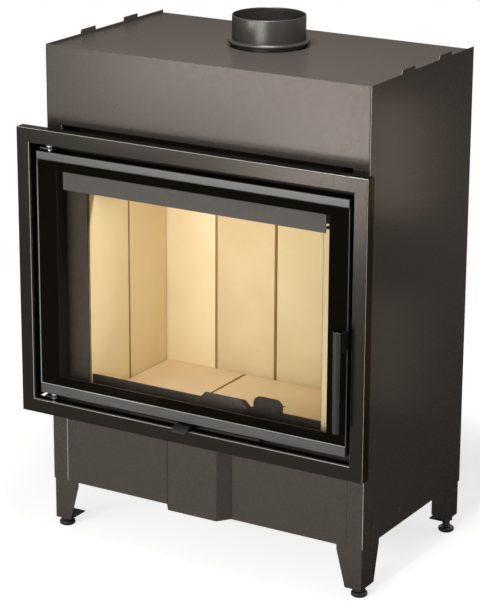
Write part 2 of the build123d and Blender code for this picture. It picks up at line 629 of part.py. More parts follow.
def make_air_gate():
    """Sliding gate with two windows, its upright and the tab that shows below the door."""
    y = (-SEAL_FRONT - FREE - GATE_T, -SEAL_FRONT - FREE)
    ends = (PORT_PLACES[0] - GATE_TRAVEL - PORT_W / 2 - GATE_END,
            PORT_PLACES[1] + GATE_TRAVEL + PORT_W / 2 + GATE_END)
    gate = block(ends, y, (LOWER_TOP + AIR_SHEET + FREE, GATE_HIGH))
    for place in PORT_PLACES:
        middle = place - GATE_TRAVEL
        gate -= block((middle - PORT_W / 2, middle + PORT_W / 2), y, (PORT_LOW, PORT_LOW + PORT_H))
    arm_x = (LEVER_X - LEVER_W / 2, LEVER_X + LEVER_W / 2)
    gate += block(arm_x, y, (GATE_HIGH, LEVER_Z))
    gate += block(arm_x, (-LEVER_KNEE, y[1]), (LEVER_Z, LEVER_Z + LEVER_T))
    tab = plate_x(arm_x, [(-LEVER_KNEE, LEVER_Z), (-LEVER_REACH, LEVER_Z - LEVER_DIP),
                          (-LEVER_REACH, LEVER_Z - LEVER_DIP + LEVER_T), (-LEVER_KNEE, LEVER_Z + LEVER_T)])
    plan = block(arm_x, (-LEVER_REACH, -LEVER_KNEE), (LEVER_Z - LEVER_DIP, LEVER_Z + LEVER_T))
    plan = fillet(plan.edges().filter_by(Axis.Z).sort_by(Axis.Y)[:2], LEVER_ROUND)
    PARTS["air_gate"] = gate + (tab & plan)


# ---------------------------------------------------------------- door
def make_door_frame():
    """Folded door frame with the rope channel, hinge blocks and the block for the latch pivot."""
    outer_z = (DOOR_LOW, DOOR_HIGH)
    throat = THROAT_W / 2
    throat_z = (THROAT_LOW, THROAT_HIGH)
    pan = block((-DOOR_HALF, DOOR_HALF), (PAN_FRONT, PAN_FRONT + PAN_SHEET), outer_z)
    pan -= block((-throat, throat), (PAN_FRONT, PAN_FRONT + PAN_SHEET), throat_z)
    skirt_z = (DOOR_LOW + PAN_SHEET, DOOR_HIGH - PAN_SHEET)
    pan += window((PAN_FRONT, PAN_FRONT + PAN_DEPTH), DOOR_HALF - PAN_SHEET, skirt_z, PAN_SHEET)
    edge = -SEAL_FRONT - CHANNEL_GAP
    base = ROPE_Y - ROPE_R - FREE
    pan += window((PAN_FRONT, edge), throat, throat_z, CHANNEL_SHEET)
    floor_half = throat + CHANNEL_SHEET
    floor_z = (THROAT_LOW - CHANNEL_SHEET, THROAT_HIGH + CHANNEL_SHEET)
    pan += window((base - CHANNEL_BASE, base), floor_half, floor_z, CHANNEL_W)
    wall_z = (floor_z[0] - CHANNEL_W, floor_z[1] + CHANNEL_W)
    pan += window((base - CHANNEL_BASE, edge), floor_half + CHANNEL_W, wall_z, CHANNEL_SHEET)

    block_x = (HINGE_X - HINGE_BLOCK_W / 2, HINGE_X + HINGE_BLOCK_W / 2)
    block_y = (PAN_FRONT, PAN_FRONT + HINGE_BLOCK_D)
    deep = PIN_GRIP + PIN_END_GAP
    for ends, bore in (((DOOR_HIGH - HINGE_BLOCK_H, DOOR_HIGH), (DOOR_HIGH - deep, DOOR_HIGH)),
                       ((DOOR_LOW, DOOR_LOW + HINGE_BLOCK_H), (DOOR_LOW, DOOR_LOW + deep))):
        pan += block(block_x, block_y, ends)
        pan -= drum_z(HINGE_X, -HINGE_FRONT, bore, PIN_R + RUN)
    boss_x = (DOOR_HALF - PIVOT_DEEP - PAN_SHEET, DOOR_HALF)
    boss_y = (PAN_FRONT, -PIVOT_FRONT + 2 * PIVOT_R)
    pan += block(boss_x, boss_y, (PIVOT_Z - 3 * PIVOT_R, PIVOT_Z + 3 * PIVOT_R))
    pan -= drum_x((DOOR_HALF - PIVOT_DEEP, DOOR_HALF), -PIVOT_FRONT, PIVOT_Z, PIVOT_R + RUN)
    for x in TRIM_SCREWS:
        for z in trim_levels():
            pan -= drum_y(x, (PAN_FRONT, PAN_FRONT + PAN_SHEET), z, SCREW_R + RUN)
    PARTS["door_frame"] = pan


def trim_levels():
    """Heights of the middles of the top and bottom trim strips."""
    return DOOR_HIGH - TRIM_TOP_H / 2, DOOR_LOW + TRIM_LOW_H / 2


def make_glazing():
    """Printed ceramic glass on a flat seal, held by a trim strip above and below, screwed from behind."""
    face = -DOOR_FRONT
    glass_z = (DOOR_LOW + TRIM_LOW_H + TRIM_GAP, DOOR_HIGH - TRIM_TOP_H - TRIM_GAP)
    PARTS["door_glass"] = block((-DOOR_HALF, DOOR_HALF), (face, face + GLASS_T), glass_z)
    inset = GLASS_SEAL_EDGE + GLASS_SEAL_W
    PARTS["glass_seal"] = window((face + GLASS_T, PAN_FRONT), DOOR_HALF - inset,
                                 (glass_z[0] + inset, glass_z[1] - inset), GLASS_SEAL_W)
    strips = ((DOOR_HIGH - TRIM_TOP_H, DOOR_HIGH), (DOOR_LOW, DOOR_LOW + TRIM_LOW_H))
    tip = face + SCREW_HEAD_T
    trims = []
    for z, level in zip(strips, trim_levels()):
        strip = block((-DOOR_HALF, DOOR_HALF), (face, PAN_FRONT), z)
        for x in TRIM_SCREWS:
            strip -= drum_y(x, (tip, PAN_FRONT), level, SCREW_R + RUN)
        trims.append(strip)
    PARTS["door_trims"] = group(trims)
    screws = []
    rear = PAN_FRONT + PAN_SHEET
    for x in TRIM_SCREWS:
        for z in trim_levels():
            screws.append(drum_y(x, (tip, rear), z, SCREW_R)
                          + drum_y(x, (rear, rear + SCREW_HEAD_T), z, SCREW_HEAD_R))
    PARTS["trim_screws"] = group(screws)


def make_door_rope():
    """Sealing rope, one closed loop in the door's channel."""
    reach = CHANNEL_SHEET + CHANNEL_W / 2
    width = THROAT_W + 2 * reach
    height = THROAT_HIGH - THROAT_LOW + 2 * reach
    middle = BASE + (THROAT_LOW + THROAT_HIGH) / 2
    plane = Plane(origin=(0, FRONT + ROPE_Y, middle), x_dir=(1, 0, 0), z_dir=(0, -1, 0))
    path = (plane * RectangleRounded(width, height, ROPE_BEND)).wire()
    section = Plane(origin=path @ 0, z_dir=path % 0) * Circle(ROPE_R)
    PARTS["door_rope"] = sweep(section, path=path)


def make_deflector():
    """Air-wash deflector inside the door's upper edge."""
    half = DEFLECTOR_W / 2
    skin = CHANNEL_SHEET
    front = -DEFLECTOR_FRONT
    sheet = block((-half, half), (front, front + skin), (DEFLECTOR_LOW, THROAT_HIGH))
    sheet += block((-half, half), (front, front + DEFLECTOR_FOLD), (THROAT_HIGH - skin, THROAT_HIGH))
    PARTS["air_deflector"] = sheet


def make_hinges():
    """Two bracket plates on the sealing plate, and the two pins that the door turns on."""
    face = -SEAL_FRONT
    tail_y = (face - CASE_SHEET, face)
    low = (HINGE_PLATE_LOW, HINGE_PLATE_LOW + HINGE_PLATE_T)
    high = (HINGE_PLATE_HIGH, HINGE_PLATE_HIGH + HINGE_PLATE_T)
    tails = ((low[0] - HINGE_TAIL, low[0]), (high[1], SEAL_HIGH))
    plates = []
    for z, tail in zip((low, high), tails):
        plate = block(HINGE_PLATE_X, (-HINGE_PLATE_FRONT, face), z) + block(HINGE_PLATE_X, tail_y, tail)
        plates.append(plate - drum_z(HINGE_X, -HINGE_FRONT, z, PIN_R + RUN))
    PARTS["hinge_brackets"] = group(plates)

    place = (HINGE_X, -HINGE_FRONT)
    upper = drum_z(*place, (DOOR_HIGH - PIN_GRIP, high[1]), PIN_R)
    upper += drum_z(*place, (high[1], high[1] + PIN_HEAD_T), PIN_HEAD_R)
    lower = drum_z(*place, (low[0], DOOR_LOW + PIN_GRIP), PIN_R)
    lower += drum_z(*place, (low[0] - PIN_HEAD_T, low[0]), PIN_HEAD_R)
    lower += drum_z(*place, (low[1], DOOR_LOW - FREE), PIN_HEAD_R)
    PARTS["hinge_pins"] = group([upper, lower])


# ---------------------------------------------------------------- handle and latch
def make_latch():
    """Upright handle rod on the latch lever, the lever's pivot screw and the striker."""
    rod = drum_z(ROD_X, -ROD_FRONT, (ROD_LOW, ROD_HIGH), ROD_R)
    PARTS["handle_rod"] = chamfer(rod.edges().filter_by(GeomType.CIRCLE), ROD_R / 10)

    start = ROD_R / 2 - ROD_FRONT
    notch = STRIKER_FRONT + STRIKER_R + HOOK_END
    under = PIVOT_Z - HOOK_ARM
    nose_top = STRIKER_Z - STRIKER_R - FREE
    nose = (-HOOK_END - HOOK_NOSE, -HOOK_END)
    slope = -PIVOT_FRONT - 2 * HOOK_END
    outline = [(start, PIVOT_Z - ARM_UP), (start, PIVOT_Z + ARM_UP), (slope + HOOK_END / 2, PIVOT_Z + ARM_UP),
               (-notch, PIVOT_Z + HOOK_ARM), (-notch, PIVOT_Z), (nose[0], PIVOT_Z), (nose[0], nose_top),
               (nose[1], nose_top), (nose[1], under), (-notch, under), (slope, PIVOT_Z - ARM_UP)]
    lever_x = (LATCH_X, LATCH_X + LATCH_T)
    lever = plate_x(lever_x, outline) - drum_z(ROD_X, -ROD_FRONT, (ROD_LOW, ROD_HIGH), ROD_R)
    PARTS["latch_lever"] = lever - drum_x(lever_x, -PIVOT_FRONT, PIVOT_Z, PIVOT_R + RUN)

    place = (-PIVOT_FRONT, PIVOT_Z)
    head = LATCH_X + LATCH_T + FREE
    pivot = drum_x((DOOR_HALF - PIVOT_DEEP, head), *place, PIVOT_R)
    pivot += drum_x((DOOR_HALF, LATCH_X - FREE), *place, PIVOT_HEAD_R)
    pivot += drum_x((head, head + PIVOT_HEAD_T), *place, PIVOT_HEAD_R)
    PARTS["latch_pivot"] = pivot

    backing = (STRIKER_FACE - STRIKER_PLATE_T, STRIKER_FACE)
    z = (STRIKER_Z - STRIKER_PLATE_H / 2, STRIKER_Z + STRIKER_PLATE_H / 2)
    striker = block(backing, (-STRIKER_PLATE_FRONT, -SEAL_FRONT), z)
    striker += drum_x((STRIKER_FACE, LATCH_X + STRIKER_REACH), -STRIKER_FRONT, STRIKER_Z, STRIKER_R)
    PARTS["latch_striker"] = striker


# ---------------------------------------------------------------- all pieces
for make in (make_casing, make_legs, make_case_screws, make_surround, make_firebox, make_lining,
             make_log_guard, make_flue, make_air_inlet, make_air_gate, make_door_frame, make_glazing,
             make_door_rope, make_deflector, make_hinges, make_latch):
    make()

os.makedirs("parts", exist_ok=True)
for name, shape in PARTS.items():
    export_step(shape, f"parts/{name}.step")
print(len(PARTS), "nodes written")
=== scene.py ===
# %% [markdown]
# # A fireplace insert, dressed
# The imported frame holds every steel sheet, brick and pin at its true size. This notebook gives those pieces
# the look of the real thing: rounded folds, satin stove paint, fired clay, printed glass and brushed steel.
# Everything is in metres, with +X to the right, +Y to the back and +Z up, as in the frame.

# %% Load the frame
import bpy
import bmesh
import json
import math
from mathutils import Matrix, Vector

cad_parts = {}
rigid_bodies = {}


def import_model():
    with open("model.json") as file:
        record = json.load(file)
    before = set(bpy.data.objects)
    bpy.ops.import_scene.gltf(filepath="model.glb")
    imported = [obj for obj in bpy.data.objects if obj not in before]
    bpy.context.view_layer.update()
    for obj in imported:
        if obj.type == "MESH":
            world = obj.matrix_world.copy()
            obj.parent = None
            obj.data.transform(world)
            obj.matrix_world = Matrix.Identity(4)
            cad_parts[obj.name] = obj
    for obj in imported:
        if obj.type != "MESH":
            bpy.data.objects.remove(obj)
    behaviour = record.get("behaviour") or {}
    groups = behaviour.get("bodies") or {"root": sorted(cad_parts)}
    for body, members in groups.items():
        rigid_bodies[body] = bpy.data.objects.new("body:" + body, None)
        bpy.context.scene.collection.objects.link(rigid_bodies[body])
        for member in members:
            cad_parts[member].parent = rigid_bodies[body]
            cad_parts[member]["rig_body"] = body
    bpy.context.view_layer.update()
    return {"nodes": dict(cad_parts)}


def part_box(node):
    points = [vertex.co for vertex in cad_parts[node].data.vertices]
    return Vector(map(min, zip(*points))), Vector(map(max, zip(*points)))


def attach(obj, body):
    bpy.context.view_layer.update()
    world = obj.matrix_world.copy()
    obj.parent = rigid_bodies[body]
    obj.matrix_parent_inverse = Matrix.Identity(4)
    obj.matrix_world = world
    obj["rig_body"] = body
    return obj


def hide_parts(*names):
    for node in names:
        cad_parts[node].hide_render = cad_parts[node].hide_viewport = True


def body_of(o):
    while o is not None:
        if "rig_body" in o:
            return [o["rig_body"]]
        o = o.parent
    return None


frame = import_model()
nodes = frame["nodes"]
MM = 0.001
print("nodes in the frame:", len(nodes))

# %% [markdown]
# ## Places that everything else follows
# The casing's front plane, its sides and its lower edge are read from the frame, so that a piece made here
# sits where the steel is. Depths are counted from the casing's front and heights from its lower edge.

# %% Main places
case_low, case_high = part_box("side_panel_right")
left_low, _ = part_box("side_panel_left")
FRONT, BASE, SIDE = case_low.y, case_low.z, case_high.x


def place(x, depth, height):
    """A point from millimetres: x from the middle, depth behind the casing's front, height over its edge."""
    return Vector((x * MM, FRONT + depth * MM, BASE + height * MM))


print("casing front at", round(FRONT, 4), "lower edge at", round(BASE, 4), "width", round(SIDE - left_low.x, 4))

# %% [markdown]
# ## The camera
# The photograph was taken from the right, well above the middle, with a long lens. Its direction, distance
# and lens were worked out from the object's own right angles, so no shift is needed.

# %% Camera
CAMERA_RIGHT = 2393.6          # millimetres from the middle of the casing's front lower edge
CAMERA_FRONT = -3852.2
CAMERA_UP = 1884.7
CAMERA_TURN = math.radians(30.926)
CAMERA_TILT = math.radians(17.592)
CAMERA_ROLL = math.radians(-0.246)
PHOTO_WIDTH, PHOTO_HEIGHT = 480, 603
FOCAL_PIXELS = 2426.4
SENSOR = 36.0

forward = Vector((-math.sin(CAMERA_TURN) * math.cos(CAMERA_TILT),
                  math.cos(CAMERA_TURN) * math.cos(CAMERA_TILT), -math.sin(CAMERA_TILT)))
sideways = forward.cross(Vector((0, 0, 1))).normalized()
sideways = Matrix.Rotation(CAMERA_ROLL, 3, forward) @ sideways
upward = sideways.cross(forward)
camera_data = bpy.data.cameras.new("photo_camera")
camera_data.sensor_width = SENSOR
camera_data.lens = FOCAL_PIXELS * SENSOR / max(PHOTO_WIDTH, PHOTO_HEIGHT)
camera = bpy.data.objects.new("photo_camera", camera_data)
axes = Matrix((sideways, upward, -forward)).transposed()
camera.matrix_world = Matrix.Translation(place(CAMERA_RIGHT, CAMERA_FRONT, CAMERA_UP)) @ axes.to_4x4()
bpy.context.scene.collection.objects.link(camera)
bpy.context.scene.camera = camera
print("lens", round(camera_data.lens, 1), "mm")

# %% [markdown]
# ## Two helpers
# Colours are written as they look on a screen, and one function turns them into the linear numbers that
# Blender calculates with. A second one makes every node of every material, so a material reads as a list.


# %% Colour and node helpers
def linear(hex_colour):
    """An sRGB colour such as "#8a847c" as linear red, green, blue and alpha."""
    shares = [int(hex_colour[i:i + 2], 16) / 255 for i in (1, 3, 5)]
    return (*[s / 12.92 if s <= 0.04045 else ((s + 0.055) / 1.055) ** 2.4 for s in shares], 1.0)


def add(tree, kind, settings=None, links=None):
    """One new node. Settings are its properties or its sockets' values, and links feed its sockets."""
    node = tree.nodes.new(kind)
    for name, value in (settings or {}).items():
        if isinstance(name, str) and hasattr(node, name):
            setattr(node, name, value)
        else:
            node.inputs[name].default_value = value
    for name, source in (links or {}).items():
        tree.links.new(source, node.inputs[name])
    return node


print("screen grey #808080 is", round(linear("#808080")[0], 3), "in linear light")

# %% [markdown]
# ## Light, floor and background
# A product studio. One lamp hangs over the object for the top plate and one stands high in front for the
# flue. Three small ones, low on the left, are there for their reflections: the satin paint mirrors them
# towards the camera, which gives the front its sheen. Weak lamps touch the left side, the right edge and the
# right panel, and one inside the chamber lights the bricks. The floor is pale. The background is white
# because the world is white for camera, mirror and glass rays only, so the object isn't washed out by it.

# %% World
WORLD_FILL = 0.10
FLOOR_GLOW = 0.705
world = bpy.data.worlds.new("studio")
bpy.context.scene.world = world
world.use_nodes = True
sky = world.node_tree
sky.nodes.clear()
rays = add(sky, "ShaderNodeLightPath")
straight = add(sky, "ShaderNodeMath", {"operation": "MAXIMUM"},
               {0: rays.outputs["Is Camera Ray"], 1: rays.outputs["Is Transmission Ray"]})
seen = add(sky, "ShaderNodeMath", {"operation": "MAXIMUM"},
           {0: straight.outputs[0], 1: rays.outputs["Is Glossy Ray"]})
fill = add(sky, "ShaderNodeBackground", {"Color": linear("#f4f2ef"), "Strength": WORLD_FILL})
white = add(sky, "ShaderNodeBackground", {"Color": (1, 1, 1, 1), "Strength": 1.0})
mixed = add(sky, "ShaderNodeMixShader", None,
            {0: seen.outputs[0], 1: fill.outputs[0], 2: white.outputs[0]})
add(sky, "ShaderNodeOutputWorld", None, {"Surface": mixed.outputs[0]})
bpy.context.scene.view_settings.view_transform = "Standard"
print("world strength for the object:", WORLD_FILL)


# %% Lamps
def soft_light(name, spot, target, size, watts):
    """A rectangular lamp at one point, aimed at another."""
    data = bpy.data.lights.new(name, "AREA")
    data.shape = "RECTANGLE"
    data.size, data.size_y = size
    data.energy = watts
    lamp = bpy.data.objects.new(name, data)
    lamp.location = spot
    lamp.rotation_euler = (Vector(target) - Vector(spot)).to_track_quat("-Z", "Y").to_euler()
    bpy.context.scene.collection.objects.link(lamp)
    return lamp


SHEEN_SIZE, SIDE_SHEEN_SIZE = (0.42, 0.22), (0.1, 0.25)
LAMPS = (      # name, place in metres, what it is aimed at, width and height in metres, watts
    ("near_top_light", (0.15, -0.35, 2.0), place(0, 100, 915), (0.6, 0.3), 29),
    ("front_sheen_middle", (-1.15, -2.0, 0.6), place(0, 0, 800), SHEEN_SIZE, 6.0),
    ("front_sheen_low", (-0.68, -2.05, 0.3), place(0, 0, 800), SHEEN_SIZE, 7.4),
    ("front_sheen_right", (-0.68, -2.05, 0.6), place(0, 0, 800), SHEEN_SIZE, 4.6),
    ("flue_light", (0.25, -2.4, 1.0), place(0, 250, 950), (1.1, 0.5), 26),
    ("left_key_light", (-1.95, -1.75, 1.05), place(100, -50, 450), (0.2, 0.5), 1.0),
    ("right_edge_light", (1.5, -0.55, 1.0), place(400, -45, 640), (0.3, 0.3), 0.3),
    ("side_sheen", (0.72, 0.55, 0.25), place(365, -60, 310), SIDE_SHEEN_SIZE, 0.21),
    ("side_sheen", (0.72, 0.55, 0.7), place(365, -60, 760), SIDE_SHEEN_SIZE, 0.53),
    ("chamber_light", place(-80, 12, 430), place(-170, 287, 330), (0.35, 0.4), 0.64),
)
for lamp_name, *lamp_settings in LAMPS:
    lamp = soft_light(lamp_name, *lamp_settings)
    lamp.visible_camera = lamp_name not in ("side_sheen", "chamber_light")     # these stand in the picture
print("lamps:", len(LAMPS))

# %% Floor
FLOOR_SIZE = 12.0
FADE_FROM, FADE_TO = 1.1, 2.6      # metres from the object's middle
floor_mesh = bpy.data.meshes.new("studio_floor")
grid = bmesh.new()
bmesh.ops.create_grid(grid, x_segments=1, y_segments=1, size=FLOOR_SIZE / 2)
grid.to_mesh(floor_mesh)
grid.free()
floor = bpy.data.objects.new("studio_floor", floor_mesh)
bpy.context.scene.collection.objects.link(floor)
floor_finish = bpy.data.materials.new("painted_studio_floor")
floor_finish.use_nodes = True
tree = floor_finish.node_tree
tree.nodes.clear()
rays = add(tree, "ShaderNodeLightPath")
seen = add(tree, "ShaderNodeMath", {"operation": "MAXIMUM"},
           {0: rays.outputs["Is Camera Ray"], 1: rays.outputs["Is Transmission Ray"]})
paint = add(tree, "ShaderNodeBsdfDiffuse", {"Color": linear("#f3f2f0")})
glow = add(tree, "ShaderNodeEmission", {"Color": (1, 1, 1, 1), "Strength": FLOOR_GLOW})
shown = add(tree, "ShaderNodeMixShader", None, {0: seen.outputs[0], 2: glow.outputs[0]})
both = add(tree, "ShaderNodeAddShader", None, {0: paint.outputs[0], 1: shown.outputs[0]})
here = add(tree, "ShaderNodeTexCoord")
distance = add(tree, "ShaderNodeVectorMath", {"operation": "LENGTH"}, {0: here.outputs["Object"]})
fade = add(tree, "ShaderNodeMapRange",
           {"interpolation_type": "SMOOTHSTEP", "From Min": FADE_FROM, "From Max": FADE_TO},
           {"Value": distance.outputs["Value"]})
clear = add(tree, "ShaderNodeBsdfTransparent")
edge = add(tree, "ShaderNodeMixShader", None,
           {0: fade.outputs[0], 1: both.outputs[0], 2: clear.outputs[0]})
add(tree, "ShaderNodeOutputMaterial", None, {"Surface": edge.outputs[0]})
floor_mesh.materials.append(floor_finish)
print("studio ready")

# %% [markdown]
# ## Stove paint
# The casing, the surround and the door are sheet steel under a sprayed, oven-cured silicone paint. It holds
# tiny metal flakes, so it is neither matt nor glossy: a soft sheen that changes from face to face. One noise
# at the size of the flakes sets the colour and the gloss, and a wider one gives the faint orange peel.


# %% Material helpers
def new_material(name):
    """An empty node material, with the object's own coordinates in it."""
    material = bpy.data.materials.new(name)
    material.use_nodes = True
    tree = material.node_tree
    tree.nodes.clear()
    return material, tree, add(tree, "ShaderNodeTexCoord").outputs["Object"]


def surface(tree, settings, links):
    """The principled shader at the end of a material."""
    shader = add(tree, "ShaderNodeBsdfPrincipled", settings, links)
    add(tree, "ShaderNodeOutputMaterial", None, {"Surface": shader.outputs[0]})
    return shader


def grain(tree, coordinates, size_mm, detail=2.0, stretch=(1, 1, 1)):
    """A noise whose lumps are about size_mm across, longer where stretch is small."""
    scaled = add(tree, "ShaderNodeMapping", {"Scale": stretch}, {"Vector": coordinates})
    noise = add(tree, "ShaderNodeTexNoise", {"Scale": 0.6 / (size_mm * MM), "Detail": detail},
                {"Vector": scaled.outputs[0]})
    return noise.outputs["Fac"]


def ramp(tree, source, stops):
    """A colour ramp from pairs of place and colour."""
    node = add(tree, "ShaderNodeValToRGB", None, {"Fac": source})
    points = node.color_ramp.elements
    while len(points) < len(stops):
        points.new(0.5)
    for point, (place_on_ramp, colour) in zip(points, stops):
        point.position = place_on_ramp
        point.color = linear(colour)
    return node.outputs["Color"]


def level(tree, source, low, high):
    """A number between low and high that follows a pattern."""
    node = add(tree, "ShaderNodeMapRange",
               {"From Min": 0.3, "From Max": 0.7, "To Min": low, "To Max": high}, {"Value": source})
    return node.outputs["Result"]


def relief(tree, source, depth_mm):
    """A bump of this real depth."""
    node = add(tree, "ShaderNodeBump", {"Distance": depth_mm * MM}, {"Height": source})
    return node.outputs["Normal"]


# %% Sprayed stove paint
FLAKE_EDGE = linear("#b4b0ac")       # the flakes lie in dark resin, so the sheen stays low at a flat angle
FLAKE_MM, PEEL_MM, PEEL_DEEP_MM, PAINT_UNEVEN = 0.9, 3.0, 0.012, 0.03


def stove_paint(name, dark, light, metallic, gloss):
    """Satin heat-resistant paint with metal flakes."""
    material, tree, here = new_material(name)
    flakes = grain(tree, here, FLAKE_MM)
    peel = grain(tree, here, PEEL_MM)
    surface(tree, {"Metallic": metallic, "Specular IOR Level": 0.0, "Specular Tint": FLAKE_EDGE},
            {"Base Color": ramp(tree, flakes, [(0.3, dark), (0.7, light)]),
             "Roughness": level(tree, peel, gloss - PAINT_UNEVEN, gloss + PAINT_UNEVEN),
             "Normal": relief(tree, peel, PEEL_DEEP_MM)})
    return material


casing_paint = stove_paint("sprayed_stove_paint_casing", "#47423e", "#4d4743", 0.4, 0.28)
surround_paint = stove_paint("sprayed_stove_paint_surround", "#282522", "#2b2825", 0.8, 0.23)
door_paint = stove_paint("sprayed_stove_paint_door", "#1c1916", "#28241f", 0.2, 0.45)
flue_paint = stove_paint("sprayed_stove_paint_flue", "#4b4946", "#585552", 0.8, 0.33)
# painted highlight: a light paint for the rounded front edges that turn to the right and upwards
painted_highlight_edge = stove_paint("painted_highlight_on_edges", "#b3aea7", "#c6c1ba", 0.5, 0.3)
print("stove paints:", casing_paint.name, surround_paint.name, door_paint.name, flue_paint.name)

# %% [markdown]
# ## Bare and plated steel
# The firebox is bare sheet steel that has turned brown-black in the first fires. Small screws and pins are
# zinc-plated, the feet and the case screws blackened, the handle is polished black chrome, and the two strips
# over and under the glass are brushed along their length. Each is a metal, so its colour is its reflection,
# and only its grain tells them apart.


# %% Metals
METAL_UNEVEN = 0.06
EVEN, ALONG_X, ALONG_Z = (1, 1, 1), (0.03, 1, 1), (1, 1, 0.05)      # how the grain lies


def worked_metal(name, dark, light, gloss, size_mm, stretch, depth_mm, metallic=1.0):
    """A metal whose grain runs along the axis with the smallest stretch."""
    material, tree, here = new_material(name)
    lines = grain(tree, here, size_mm, 3.0, stretch)
    surface(tree, {"Metallic": metallic},
            {"Base Color": ramp(tree, lines, [(0.3, dark), (0.7, light)]),
             "Roughness": level(tree, lines, gloss - METAL_UNEVEN, gloss + METAL_UNEVEN),
             "Normal": relief(tree, lines, depth_mm)})
    return material


fired_steel = worked_metal("fire_browned_sheet_steel", "#2a231d", "#3b332b", 0.62, 5.0, EVEN, 0.02, 0.5)
zinc = worked_metal("zinc_plated_steel", "#a9a8a4", "#c4c3bf", 0.34, 1.5, EVEN, 0.01)
black_chrome = worked_metal("polished_black_chrome", "#3b3a38", "#454442", 0.16, 0.8, ALONG_Z, 0.002)
brushed_strip = worked_metal("brushed_steel_strip", "#403f3d", "#504f4d", 0.42, 1.2, ALONG_X, 0.01, 0.7)
gate_steel = worked_metal("blackened_lever_steel", "#1f1e1d", "#2e2d2b", 0.4, 2.0, EVEN, 0.01, 0.6)
bright_lip_finish = worked_metal("bright_opening_lip_metal", "#a7a5a0", "#bdbbb6", 0.32, 1.0, EVEN, 0.005)
foot_steel = worked_metal("blackened_foot_steel", "#2b2a29", "#3c3a38", 0.42, 1.5, EVEN, 0.01, 0.6)
ground_rim = worked_metal("ground_glass_rim", "#a3a6a0", "#b4b7b1", 0.5, 1.0, EVEN, 0.01, 0.0)
deflector_steel = worked_metal("heat_tinted_deflector_steel", "#3c3935", "#494540", 0.6, 6.0, EVEN, 0.01, 0.2)
print("metals:", fired_steel.name, zinc.name, black_chrome.name, brushed_strip.name, gate_steel.name)

# %% [markdown]
# ## Fired chamotte
# The firebricks are pressed from crushed fired clay and fired again: pale yellow, matt, with fine grit and a
# few darker grains. The clouding is some centimetres wide, the grit about a millimetre, and the grit is also
# the only relief. Bricks of one lining differ a little, so each group has a tint of its own. The narrow
# bevels at the joints get a darker clay.


# %% Chamotte
CLOUD_MM, GRIT_MM, GRIT_DEEP_MM = 60.0, 1.6, 0.12
SPECK_FROM, SPECK_TO, SPECK_COVER = 0.66, 0.74, 0.5      # only the noise's peaks are darker grains


def chamotte(name, dark, light, speck):
    """Pressed and fired brick clay with grit."""
    material, tree, here = new_material(name)
    clouds = ramp(tree, grain(tree, here, CLOUD_MM, 3.0), [(0.35, dark), (0.65, light)])
    grit = grain(tree, here, GRIT_MM)
    specks = add(tree, "ShaderNodeMapRange",
                 {"From Min": SPECK_FROM, "From Max": SPECK_TO, "To Max": SPECK_COVER}, {"Value": grit})
    mix = add(tree, "ShaderNodeMix", {"data_type": "RGBA"}, {0: specks.outputs["Result"]})
    tree.links.new(clouds, mix.inputs[6])
    mix.inputs[7].default_value = linear(speck)
    surface(tree, {"Roughness": 0.92, "Specular IOR Level": 0.25},
            {"Base Color": mix.outputs[2], "Normal": relief(tree, grit, GRIT_DEEP_MM)})
    return material


side_brick = chamotte("pressed_chamotte_yellow", "#ddc89c", "#e3cfa3", "#b39a6e")
pale_brick = chamotte("pressed_chamotte_pale", "#e2cca3", "#e8d5ad", "#b89f74")
tan_brick = chamotte("pressed_chamotte_tan", "#c8b289", "#cfba93", "#9f885f")
grey_brick = chamotte("pressed_chamotte_grey_yellow", "#c9b68c", "#cfbd95", "#9f8b62")
floor_brick = chamotte("pressed_chamotte_floor", "#e6d0ad", "#ecd8b6", "#b8a17a")
# darker clay for the bevels where neighbouring bricks meet
dark_joint_clay = chamotte("dark_clay_on_joint_bevels", "#8c703f", "#997d4b", "#6b5430")
print("chamotte:", side_brick.name, pale_brick.name, tan_brick.name, grey_brick.name, floor_brick.name)

# %% [markdown]
# ## Glass, its printed border and the seals
# The door's pane is clear ceramic glass, 4 mm thick, with a black enamel border fired onto its inner face.
# The pane is a thin clear coat in front of the fire here, so the lamps still light the bricks through it, as
# they do through real glass. The border is a piece of its own just behind the pane.


# %% Glass, enamel and rope
def clear_pane(name, cover):
    """Clear ceramic glass. cover is the share of the light that it keeps from what lies behind."""
    material, tree, _ = new_material(name)
    surface(tree, {"Base Color": linear("#241e16"), "Roughness": 0.03, "Specular IOR Level": 0.006,
                   "Alpha": cover}, {})
    material.surface_render_method = "BLENDED"
    return material


def enamel(name, colour):
    """Black glass enamel, fired on and smooth."""
    material, tree, here = new_material(name)
    haze = grain(tree, here, 30.0)
    surface(tree, {"Base Color": linear(colour), "Specular IOR Level": 0.0},
            {"Roughness": level(tree, haze, 0.20, 0.26)})
    return material


def braided(name, dark, light, strand_mm):
    """Braided glass fibre: the strands cross at the strand's own width."""
    material, tree, here = new_material(name)
    strands = add(tree, "ShaderNodeTexVoronoi", {"Scale": 1 / (strand_mm * MM)}, {"Vector": here})
    surface(tree, {"Roughness": 0.95},
            {"Base Color": ramp(tree, strands.outputs["Distance"], [(0.1, light), (0.8, dark)]),
             "Normal": relief(tree, strands.outputs["Distance"], 0.4)})
    return material


ceramic_glass = clear_pane("clear_ceramic_glass", 0.04)
black_enamel = enamel("black_glass_enamel", "#0e0b08")
rope_fibre = braided("braided_glass_fibre_rope", "#3a3733", "#8d887f", 1.6)
seal_tape = braided("flat_glass_fibre_tape", "#2c2a27", "#5d5953", 1.2)
print("glass, enamel and seals ready")

# %% [markdown]
# ## A finish for every piece
# Every CAD node gets its finish first, also those that a nicer copy hides later, so nothing is left plain.

